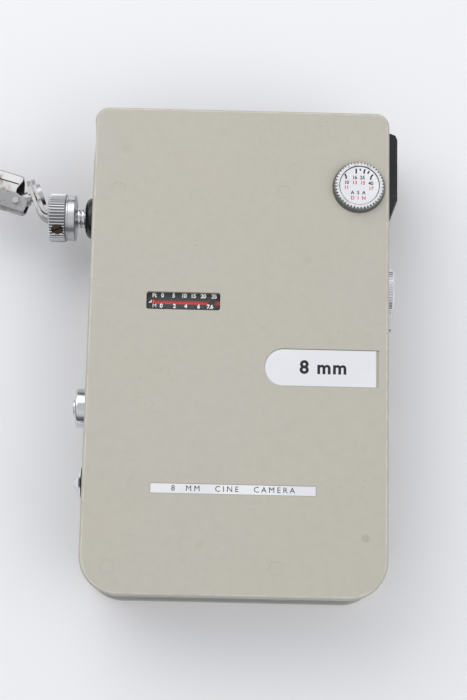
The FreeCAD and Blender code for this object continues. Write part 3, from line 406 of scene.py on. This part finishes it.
PAINTS = [
    enamel("beige_enamel", 1.0),
    enamel("door_enamel", -1.0),
    band_steel(),
    metal("bright_chrome", (0.78, 0.79, 0.81), 0.10, smudge=0.10),
    metal("worn_chrome", (0.50, 0.50, 0.505), 0.33, grain_scale=900, rust=0.9),
    knurled_chrome(),
    metal("bronzed_steel", (0.16, 0.125, 0.10), 0.32, grain_scale=700, rust=0.4),
    dial_silver(),
    plastic("white_enamel", (0.82, 0.83, 0.87), 0.30, 0.12),
    plastic("black_plastic", (0.008, 0.008, 0.010), 0.16, 0.08, wear=0.15),
    plastic("black_enamel", (0.016, 0.016, 0.017), 0.36, 0.4, wear=0.5),
    scale_black(),
    clear("optical_glass", (0.045, 0.055, 0.10), 0.62, 0.02),
    clear("clear_plastic", (0.30, 0.30, 0.30), 0.07, 0.04),
    metal("plate_steel", (0.46, 0.46, 0.47), 0.30, (1.0, 24.0, 1.0), 260),
    metal("gear_brass", (0.60, 0.42, 0.17), 0.26, (1.0, 1.0, 12.0), 500),
    plastic("spool_grey", (0.13, 0.135, 0.145), 0.42, 0.35, wear=0.6),
    cell_jacket(),
    selenium(),
    ink("black_ink", (0.005, 0.005, 0.008)),
    ink("red_ink", (0.66, 0.020, 0.030)),
    ink("white_ink", (0.97, 0.97, 0.98)),
]
MATERIALS = {paint.name: paint.material for paint in PAINTS}

# nodes whose look differs from their material slot's
SPECIAL = {
    "film_door": "door_enamel", "strap_rivet": "worn_chrome", "clamp_pin": "plate_steel",
    "set_screw": "bronzed_steel", "counter_pointer": "black_enamel",
}


def paint_nodes():
    for part in frame["record"]["subparts"]:
        node = part["node"]
        mesh = NODES[node].data
        mesh.materials.clear()
        mesh.materials.append(MATERIALS[SPECIAL.get(node, part["material_slot"])])


# ---- building pieces ----
def show(name, data):
    """A mesh, lamp or camera placed in the scene as an object of that name."""
    obj = bpy.data.objects.new(name, data)
    bpy.context.scene.collection.objects.link(obj)
    return obj


def to_mesh(name, bm):
    mesh = bpy.data.meshes.new(name)
    bm.to_mesh(mesh)
    bm.free()
    return mesh


def add_piece(name, bm, material, body, smooth_angle=35.0):
    """A visible piece that moves with a CAD body."""
    mesh = to_mesh(name, bm)
    mesh.materials.append(MATERIALS[material])
    for polygon in mesh.polygons:
        polygon.use_smooth = True
    mesh.set_sharp_from_angle(angle=math.radians(smooth_angle))
    obj = show(name, mesh)
    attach(obj, body)
    return obj


def cutter(name, bm):
    """A closed shape to cut with: carve() removes it once it has cut."""
    bmesh.ops.recalc_face_normals(bm, faces=bm.faces)
    return show(name, to_mesh(name, bm))


def carve(obj, cutters):
    """Cuts the cutters out of a piece, and keeps the result as its own mesh."""
    for tool in cutters:
        modifier = obj.modifiers.new("cut", "BOOLEAN")
        modifier.object = tool
        modifier.solver = "EXACT"
    bpy.context.view_layer.update()
    graph = bpy.context.evaluated_depsgraph_get()
    cut = bpy.data.meshes.new_from_object(obj.evaluated_get(graph))
    obj.modifiers.clear()
    obj.data = cut
    for tool in cutters:
        bpy.data.objects.remove(tool)


def soften(obj, width):
    """Small rounded edges, which catch the light as real ones do. width is in metres."""
    modifier = obj.modifiers.new("edges", "BEVEL")
    modifier.width = width
    modifier.segments = 2
    modifier.limit_method = "ANGLE"
    modifier.angle_limit = math.radians(30.0)
    modifier.harden_normals = True


def scaled(points):
    """Flat points drawn in mm, in metres."""
    return [(x * MM, y * MM) for x, y in points]


def loop_faces(bm, lower, upper):
    """Quads between two closed rows of vertices."""
    count = len(lower)
    for k in range(count):
        nxt = (k + 1) % count
        bm.faces.new((lower[k], lower[nxt], upper[nxt], upper[k]))


def lathe_rows(bm, rows):
    """Closed rows of points joined into a skin, with both ends capped."""
    made = [[bm.verts.new(p) for p in row] for row in rows]
    for lower, upper in zip(made, made[1:]):
        loop_faces(bm, lower, upper)
    bm.faces.new(list(reversed(made[0])))
    bm.faces.new(made[-1])


def closed_rows(bm, rows):
    """Closed rows of points joined into a ring-shaped skin, the last row back to the first."""
    made = [[bm.verts.new(p) for p in row] for row in rows]
    for lower, upper in zip(made, made[1:] + made[:1]):
        loop_faces(bm, lower, upper)


def prism(bm, points, z0, z1, place=Matrix.Identity(4)):
    """A closed prism over a flat outline, from height z0 to z1, in metres."""
    lathe_rows(bm, [[place @ Vector((x, y, z)) for x, y in points] for z in (z0, z1)])


# ---- strap screw: knurled knob, flange and quarter-inch thread, in mm ----
KNOB_X = -59.4           # outer face of the knob
KNOB_R, KNURL_DEPTH, KNURLS = 7.5, 0.45, 48
KNURL_SPAN = (0.12, 5.42)
KNURL_FULL = (0.45, 5.05)               # full height between the rim's two chamfers
FLANGE_R = 7.1
THREAD_R, THREAD_DEPTH, PITCH = 3.175, 0.66, 1.27
THREAD_SPAN = (8.0, 20.4)
SET_SCREW_X = -56.5
SET_SCREW_OUT = (-0.71, 0.704)          # its heading from the knob's axis: y, z
SET_HOLE_R, SET_HOLE_FLOOR = 1.8, 6.1

# lathe profiles, as distance from the outer face and radius
KNOB_RECESS = ((3.4, 0.3), (3.4, 3.5), (0.15, 3.6), (0.0, 3.75), (0.0, 6.9))
FLANGE = (
    (5.50, 6.85), (5.88, 6.85), (5.90, FLANGE_R - 0.15), (6.05, FLANGE_R),
    (8.05, FLANGE_R), (8.2, FLANGE_R - 0.15), (8.2, 3.4), (8.0, 2.3),
)


def clamped(value):
    return min(1.0, max(0.0, value))


def turns(count):
    """Angles evenly round a circle."""
    return [2 * math.pi * k / count for k in range(count)]


def steps(low, high, count):
    """Values evenly from low to high, both included."""
    return [low + (high - low) * k / (count - 1) for k in range(count)]


def on_strap_axis(u, r, angle):
    """A point of the strap screw: u from the knob's outer face, r from the axis."""
    y, z = STRAP_Y + r * math.cos(angle), AXIS_Z / MM + r * math.sin(angle)
    return Vector((KNOB_X + u, y, z)) * MM


def knurl_share(angle):
    """1 on a tooth's crest, 0 in the groove beside it."""
    phase = (angle * KNURLS / (2 * math.pi)) % 1.0
    return clamped(3.2 * (abs(phase - 0.5) * 2 - 0.28))


def from_set_screw(u, angle):
    """How far a point of the knob's rim is from the set screw's axis."""
    y, z = SET_SCREW_OUT
    across = KNOB_R * math.remainder(angle - math.atan2(z, y), 2 * math.pi)
    return math.hypot(u + KNOB_X - SET_SCREW_X, across)


def rim_radius(u, angle):
    """Radius of the knurled rim, with its chamfers and the set screw's hole."""
    if from_set_screw(u, angle) < SET_HOLE_R:
        return SET_HOLE_FLOOR
    crest = KNOB_R - KNURL_DEPTH * (1.0 - knurl_share(angle))
    near, far = KNURL_FULL
    chamfer = max(0.0, near - u) + max(0.0, u - far)
    return min(crest, KNOB_R - chamfer)


def knob_rows():
    angles = turns(KNURLS * 8)
    rows = [[on_strap_axis(u, r, a) for a in angles] for u, r in KNOB_RECESS]
    for u in steps(*KNURL_SPAN, 41):
        rows.append([on_strap_axis(u, rim_radius(u, a), a) for a in angles])
    rows += [[on_strap_axis(u, r, a) for a in angles] for u, r in FLANGE]
    return rows


def thread_rows():
    """The thread between the flange and the socket, fading out under the flange."""
    angles = turns(96)
    rows = []
    for u in steps(*THREAD_SPAN, 150):
        depth = THREAD_DEPTH * (1.0 if u > 8.5 else 0.4)
        row = []
        for a in angles:
            share = (u / PITCH - a / (2 * math.pi)) % 1.0
            groove = clamped(1.25 - abs(share - 0.5) * 5.0)
            row.append(on_strap_axis(u, THREAD_R - depth * groove, a))
        rows.append(row)
    return rows


def strap_screw():
    bm = bmesh.new()
    lathe_rows(bm, knob_rows())
    knob = add_piece("knurled_knob", bm, "knurled_chrome", "strap_screw_body", 40)
    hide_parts("strap_screw")
    bm = bmesh.new()
    lathe_rows(bm, thread_rows())
    thread = add_piece("strap_thread", bm, "bright_chrome", "strap_screw_body", 60)
    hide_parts("strap_screw")


# ---- strap tab: a strip of sheet folded double, with a hole for the rivet, in mm ----
TAB_PATH = [(-56.6, 43.1), (-60.5, 43.2), (-62.3, 44.8), (-66.1, 55.0)]
LEAF_T, LEAF_GAP, TAB_HALF = 1.15, 0.3, 3.25
TAB_LEG = (Vector((*TAB_PATH[3], 0)) - Vector((*TAB_PATH[2], 0))).normalized()
RIVET_DIR = Vector((-TAB_LEG.y, TAB_LEG.x, 0))
RIVET_AT = Vector((*TAB_PATH[2], AXIS_Z / MM)) + TAB_LEG * 5.4
RIVET_HOLE_R = 1.5


def tab_centres():
    """Points and normals along the folded strip, with its bends eased."""
    corners = [Vector(corner) for corner in TAB_PATH]
    points = []
    for a, b in zip(corners, corners[1:]):
        points += [a.lerp(b, share) for share in (0.0, 0.25, 0.5, 0.75)]
    points.append(corners[-1])
    for _ in range(2):
        inner = [(p + 2 * q + r) / 4 for p, q, r in zip(points, points[1:], points[2:])]
        points = points[:1] + inner + points[-1:]
    normals = []
    for k in range(len(points)):
        along = (points[min(k + 1, len(points) - 1)] - points[max(k - 1, 0)]).normalized()
        normals.append(Vector((-along.y, along.x)))
    return points, normals


def tab_leaf(name, side):
    """One leaf of the tab, on that side of its middle, with a rounded end."""
    points, normals = tab_centres()
    low, high = sorted((side * LEAF_GAP / 2, side * (LEAF_GAP / 2 + LEAF_T)))
    rows = []
    for point, normal in zip(points, normals):
        short = max(0.0, 1.0 - (points[-1] - point).length / TAB_HALF)
        half = TAB_HALF * math.sqrt(max(0.02, 1.0 - short ** 2))
        section = [(low, -half), (high, -half), (high, half), (low, half)]
        rows.append([
            Vector((*(point + normal * offset), AXIS_Z / MM + z)) * MM for offset, z in section
        ])
    bm = bmesh.new()
    lathe_rows(bm, rows)
    bmesh.ops.recalc_face_normals(bm, faces=bm.faces)
    leaf = add_piece(name, bm, "worn_chrome", "tab", 50)
    turn = RIVET_DIR.to_track_quat("Z", "Y").to_matrix().to_4x4()
    hole = bmesh.new()
    outline = [(RIVET_HOLE_R * math.cos(a), RIVET_HOLE_R * math.sin(a)) for a in turns(48)]
    prism(hole, scaled(outline), -0.004, 0.004, Matrix.Translation(RIVET_AT * MM) @ turn)
    carve(leaf, [cutter("rivet_hole", hole)])
    soften(leaf, 0.00012)
    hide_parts("strap_tab")


# ---- strap clamp: sheet folded round the strap's end, with a seam and a V mouth, in mm ----
CLAMP_AT = Vector((-68.2, 49.85, AXIS_Z / MM))
CLAMP_FRAME = Matrix.Translation(CLAMP_AT * MM) @ Matrix.Rotation(math.radians(164.0), 4, "Z")
CLAMP_SPAN = (-3.6, 20.0)
CLAMP_WALL = 0.8
CLAMP_TUBE = [          # section: across the clamp, height above its axis
    (-5.75, 1.6), (-5.2, 2.35), (-2.6, 2.95), (0.25, 3.2), (0.6, 3.12), (5.1, 1.7),
    (5.75, 0.9), (5.75, -2.0), (4.9, -3.0), (-4.9, -3.2), (-5.75, -2.4),
]
CLAMP_SEAM = [(-2.78, 0), (-2.42, 0), (-2.42, 5), (-2.78, 5)]
CLAMP_MOUTH = [(-7, -6.5), (0.3, -6.5), (2.0, -1.2), (1.9, 0.2), (0.0, 0.8), (-7, 0.6)]
CLAMP_END = [           # what is cut away in front of the clamp's end, in the frame's x and y
    (-68.6, 40.0), (-60.0, 40.0), (-60.0, 65.0), (-68.1, 65.0), (-68.1, 50.4),
    (-66.6, 49.4), (-66.4, 47.6), (-67.2, 45.2), (-68.6, 43.6),
]


def along_clamp(section, x0, x1):
    """A closed tube along the clamp, from x0 to x1 of its length."""
    bm = bmesh.new()
    rows = []
    for x in (x0, x1):
        rows.append([CLAMP_FRAME @ (Vector((x, y, z)) * MM) for y, z in section])
    lathe_rows(bm, rows)
    bmesh.ops.recalc_face_normals(bm, faces=bm.faces)
    return bm


def shrunk(section, wall):
    """The same section drawn in by a wall's thickness."""
    half_w = max(abs(y) for y, _z in section)
    half_h = max(abs(z) for _y, z in section)
    return [(y * (1 - wall / half_w), z * (1 - wall / half_h)) for y, z in section]


def strap_clamp():
    near, far = CLAMP_SPAN
    tube = along_clamp(CLAMP_TUBE, near, far)
    shell = add_piece("clamp_shell", tube, "worn_chrome", "clamp", 30)
    shell.data.materials.append(MATERIALS["black_enamel"])

    # the hollow leaves the second material, black enamel, on what it cuts: painted shade inside the
    # clamp
    hollow = cutter("hollow", along_clamp(shrunk(CLAMP_TUBE, CLAMP_WALL), near - 0.4, far + 1.0))
    for look in ("worn_chrome", "black_enamel"):
        hollow.data.materials.append(MATERIALS[look])
    for polygon in hollow.data.polygons:
        polygon.material_index = 1

    seam = cutter("seam", along_clamp(CLAMP_SEAM, 1.8, far + 1.0))
    mouth = bmesh.new()
    prism(mouth, scaled(CLAMP_MOUTH), 0.0, 0.005, CLAMP_FRAME)
    end = bmesh.new()
    prism(end, scaled(CLAMP_END), AXIS_Z - 0.006, AXIS_Z + 0.006)
    carve(shell, [hollow, seam, cutter("mouth", mouth), cutter("end", end)])
    soften(shell, 0.00008)
    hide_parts("strap_clamp")


# ---- coil springs, in mm ----
GATE_SPRING_SPOTS = ((14.8, 12.0), (30.0, 12.0))        # y, z
RELEASE_SPRING_X, RELEASE_Y = -46.2, -16.9


def coil_spring(name, start, length, coils, coil_r, wire_r):
    """A spring of round wire wound about the X axis from start, with closed ends."""
    bm = bmesh.new()
    rows = []
    for share in steps(0.0, 1.0, int(coils * 28) + 1):
        angle = 2 * math.pi * coils * share
        along = wire_r + (length - 2 * wire_r) * clamped((share - 0.08) / 0.84)
        out = Vector((0, math.cos(angle), math.sin(angle)))
        centre = Vector(start) + Vector((along, 0, 0)) + out * coil_r
        ring = [out * math.cos(a) + Vector((math.sin(a), 0, 0)) for a in turns(8)]
        rows.append([(centre + spoke * wire_r) * MM for spoke in ring])
    lathe_rows(bm, rows)
    bmesh.ops.recalc_face_normals(bm, faces=bm.faces)
    return add_piece(name, bm, "plate_steel", "camera_body", 80)


def springs():
    plate_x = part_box("pressure_plate")[0].x / MM
    rest_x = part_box("gate_springs")[0].x / MM
    for k, (y, z) in enumerate(GATE_SPRING_SPOTS):
        spring = coil_spring(f"gate_spring_{k + 1}", (rest_x, y, z), plate_x - rest_x, 4.5, 1.2, 0.17)
        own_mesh(spring)
        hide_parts("gate_springs")
    seat_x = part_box("button_spring")[1].x / MM
    top = (RELEASE_SPRING_X, RELEASE_Y, AXIS_Z / MM)
    spring = coil_spring("release_spring", top, seat_x - RELEASE_SPRING_X, 3.0, 2.1, 0.07)
    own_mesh(spring)
    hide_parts("button_spring")


# ---- printing: plain numbers and words, in mm ----
def lettering(name, words, z, ink_name, bold, spacing):
    """Flat printed words in one mesh. Each word is (text, x, y, height), and z is in metres."""
    bm = bmesh.new()
    for text, x, y, height in words:
        curve = bpy.data.curves.new("word", "FONT")
        curve.body = text
        curve.size = height * 1.38
        curve.align_x = "CENTER"
        curve.align_y = "CENTER"
        curve.space_character = spacing
        curve.offset = 0.0 if "M" in text else bold  # a thickened M would fill in
        curve.extrude = 0.012
        curve.resolution_u = 3
        word = show("word", curve)
        bpy.context.view_layer.update()
        graph = bpy.context.evaluated_depsgraph_get()
        mesh = bpy.data.meshes.new_from_object(word.evaluated_get(graph))
        mesh.transform(Matrix.Translation((x * MM, y * MM, z)) @ Matrix.Scale(MM, 4))
        bm.from_mesh(mesh)
        bpy.data.meshes.remove(mesh)
        bpy.data.objects.remove(word)
        bpy.data.curves.remove(curve)
    return add_piece(name, bm, ink_name, "camera_body", 30)


def stroke(bm, points, width, z):
    """A printed line of that width through points."""
    left, right = [], []
    for k, (x, y) in enumerate(points):
        ax, ay = points[max(k - 1, 0)]
        bx, by = points[min(k + 1, len(points) - 1)]
        along = Vector((bx - ax, by - ay)).normalized()
        side = Vector((-along.y, along.x)) * width / 2
        left.append((x + side.x, y + side.y))
        right.append((x - side.x, y - side.y))
    prism(bm, scaled(right + left[::-1]), z, z + 0.02 * MM)


def footage_scale():
    """Feet above the red line and metres below it, with the start mark at the left."""
    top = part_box("counter_glass")[1].z
    feet = [("0", -22.95), ("5", -19.6), ("10", -16.5), ("15", -13.7), ("20", -10.7), ("25", -7.45)]
    metres = [("0", -23.25), ("2", -19.3), ("4", -15.9), ("6", -12.05), ("7.6", -8.65)]
    feet_y, metres_y = 15.35, 12.15
    words = [("Ft", -25.4, feet_y, 1.2), ("M", -25.3, metres_y, 1.2)]
    words += [(text, x, feet_y, 1.25) for text, x in feet]
    words += [(text, x, metres_y, 1.25) for text, x in metres]
    lettering("footage_numbers", words, top, "white_ink", 0.065, 0.92)
    bm = bmesh.new()
    prism(bm, scaled([(-27.2, 13.0), (-26.2, 13.1), (-26.1, 14.0)]), top, top + 0.00003)
    add_piece("start_arrow", bm, "white_ink", "camera_body")
    bm = bmesh.new()
    block = [(-26.0, 12.95), (-25.25, 12.95), (-25.25, 13.95), (-26.0, 13.95)]
    prism(bm, scaled(block), top, top + 0.0001)
    stop = add_piece("start_stop", bm, "scale_black", "camera_body")
    soften(stop, 0.00003)


def plate_words():
    name_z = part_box("name_plate")[1].z
    lettering("format_mark", [("8 mm", 25.4, -6.0, 4.0)], name_z, "black_ink", 0.17, 1.15)
    strip_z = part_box("lower_plate")[1].z
    words = [("8  MM   CINE   CAMERA", -0.6, -42.7, 1.7)]
    lettering("kind_mark", words, strip_z, "black_ink", 0.0, 1.5)


# ---- film-speed dial, in mm ----
DIAL_TEETH, TOOTH_ROOT, TOOTH_DEPTH = 44, 6.72, 0.68
BORE_R, HUB_R, WELL_R = 2.06, 3.0, 6.12


def tooth_radius(share):
    """Radius of the crown at a share of one tooth's pitch."""
    crest = abs(share % 1.0 - 0.5) * 2
    return TOOTH_ROOT + TOOTH_DEPTH * clamped(1.9 * crest - 0.25)


def dial_crown():
    """The dial's rim: a sloping skirt, a crown of small teeth, and the sleeve it turns on."""
    cx, cy = DIAL_AT
    cover = COVER_TOP / MM
    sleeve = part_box("dial_rim")[0].z / MM
    crown_r = TOOTH_ROOT + TOOTH_DEPTH
    profile = (             # height, radius, and whether the teeth cut into it
        (cover + 0.05, 8.05, False), (cover + 1.55, 7.5, False), (cover + 1.62, crown_r, False),
        (cover + 1.7, crown_r, True), (cover + 2.35, crown_r, True), (cover + 2.6, 7.1, True),
        (cover + 2.6, WELL_R, False), (cover + 1.2, WELL_R, False), (cover + 1.2, BORE_R, False),
        (sleeve, BORE_R, False), (sleeve, HUB_R, False), (cover + 0.05, HUB_R, False),
    )
    per_tooth = 8
    rows = []
    for z, radius, toothed in profile:
        row = []
        for k, a in enumerate(turns(DIAL_TEETH * per_tooth)):
            r = min(radius, tooth_radius(k / per_tooth)) if toothed else radius
            row.append(Vector((cx + r * math.cos(a), cy + r * math.sin(a), z)) * MM)
        rows.append(row)
    bm = bmesh.new()
    closed_rows(bm, rows)
    bmesh.ops.recalc_face_normals(bm, faces=bm.faces)
    crown = add_piece("dial_crown", bm, "dial_silver", "speed_dial", 35)
    soften(crown, 0.00004)
    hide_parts("dial_rim")


def dial_scale():
    """Two plain film-speed scales, in black and red, with the setting marks above them."""
    cx, cy = DIAL_AT
    face_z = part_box("dial_face")[1].z
    black = [("16", -1.45, 2.45), ("25", 0.87, 2.45), ("10", -3.9, 0.87), ("40", 3.42, 0.72)]
    black += [("A", -2.08, -2.3), ("S", -0.37, -2.3), ("A", 1.32, -2.3)]
    red = [("13", -1.45, 0.85), ("15", 0.98, 0.8), ("11", -3.95, -0.72), ("17", 3.5, -0.9)]
    red += [("D", -2.06, -3.98), ("I", -0.41, -3.98), ("N", 1.32, -3.98)]
    for name, marks, ink_name in (("speed_black", black, "black_ink"), ("speed_red", red, "red_ink")):
        words = [(text, cx + x, cy + y, 1.12) for text, x, y in marks]
        lettering(name, words, face_z, ink_name, 0.035, 0.95)
    ticks = [
        [(-1.02, 5.3), (-1.02, 3.75)],
        [(0.22, 5.3), (0.22, 4.65)],
        [(1.68, 5.15), (1.42, 4.6), (1.36, 3.75)],
        [(2.98, 4.6), (2.42, 3.8)],
        [(4.1, 3.52), (3.48, 2.85), (3.36, 1.85)],
        [(-4.5, 3.55), (-4.1, 2.95), (-4.02, 2.0)],
    ]
    bm = bmesh.new()
    for tick in ticks:
        stroke(bm, [(cx + x, cy + y) for x, y in tick], 0.46, face_z)
    add_piece("speed_ticks", bm, "black_ink", "camera_body")


# ---- stage, light and camera, in metres ----
CAMERA_AT = (-0.0049, -0.0963, 0.5057)
CAMERA_TURNS = (("X", 11.405), ("Y", -0.424), ("Z", 1.314))      # degrees, from looking straight down
FOCAL_LENGTH = 83.3                                              # mm


def stage():
    paint = Paint("paper", (0.80, 0.80, 0.83), 0.75)
    tint = paint.mix(paint.noise(6, 3.0), (0.925, 0.925, 0.945), (0.945, 0.945, 0.965))
    paint.set("Base Color", tint)
    paint.bump(paint.noise(240, 4.0), 0.00006, 0.15)
    bm = bmesh.new()
    bmesh.ops.create_grid(bm, x_segments=2, y_segments=2, size=3.0)
    floor = show("floor", to_mesh("floor", bm))
    floor.data.materials.append(paint.material)
    floor.location.z = -0.0003


def softbox(name, spot, size, power):
    """A rectangular lamp aimed at the middle of the object's rest face."""
    lamp = bpy.data.lights.new(name, "AREA")
    lamp.shape = "RECTANGLE"
    lamp.size, lamp.size_y = size
    lamp.energy = power
    obj = show(name, lamp)
    obj.location = spot
    obj.rotation_euler = (-Vector(spot)).to_track_quat("-Z", "Y").to_euler()


def studio():
    """A world that is dark below and bright above, with two softboxes."""
    world = bpy.data.worlds.new("studio")
    bpy.context.scene.world = world
    world.use_nodes = True
    tree = world.node_tree
    back = tree.nodes["Background"]
    coords = tree.nodes.new("ShaderNodeTexCoord")
    split = tree.nodes.new("ShaderNodeSeparateXYZ")
    ramp = tree.nodes.new("ShaderNodeValToRGB")
    tree.links.new(coords.outputs["Generated"], split.inputs[0])
    tree.links.new(split.outputs["Z"], ramp.inputs[0])
    tree.links.new(ramp.outputs[0], back.inputs["Color"])
    levels = ((0.0, 0.08), (0.38, 0.22), (0.62, 0.85), (0.85, 1.0), (1.0, 0.80))
    elements = ramp.color_ramp.elements
    elements.remove(elements[1])
    for k, (position, level) in enumerate(levels):
        stop = elements[0] if k == 0 else elements.new(position)
        stop.position = position
        stop.color = (level, level * 1.01, level * 1.03, 1.0)
    back.inputs["Strength"].default_value = 0.81
    softbox("key", (-0.46, 0.58, 0.62), (1.1, 1.0), 4.3)
    softbox("fill", (0.9, -0.4, 0.9), (1.3, 1.1), 4.3)
    bpy.context.scene.view_settings.view_transform = "Standard"


def camera():
    data = bpy.data.cameras.new("camera")
    data.lens = FOCAL_LENGTH
    data.clip_start = 0.01
    place = Matrix.Translation(CAMERA_AT)
    for axis, degrees in CAMERA_TURNS:
        place @= Matrix.Rotation(math.radians(degrees), 4, axis)
    obj = show("camera", data)
    obj.matrix_world = place
    bpy.context.scene.camera = obj


paint_nodes()
strap_screw()
tab_leaf("tab_leaf_outer", 1)
tab_leaf("tab_leaf_inner", -1)
strap_clamp()
springs()
footage_scale()
dial_crown()
dial_scale()
plate_words()
stage()
studio()
camera()
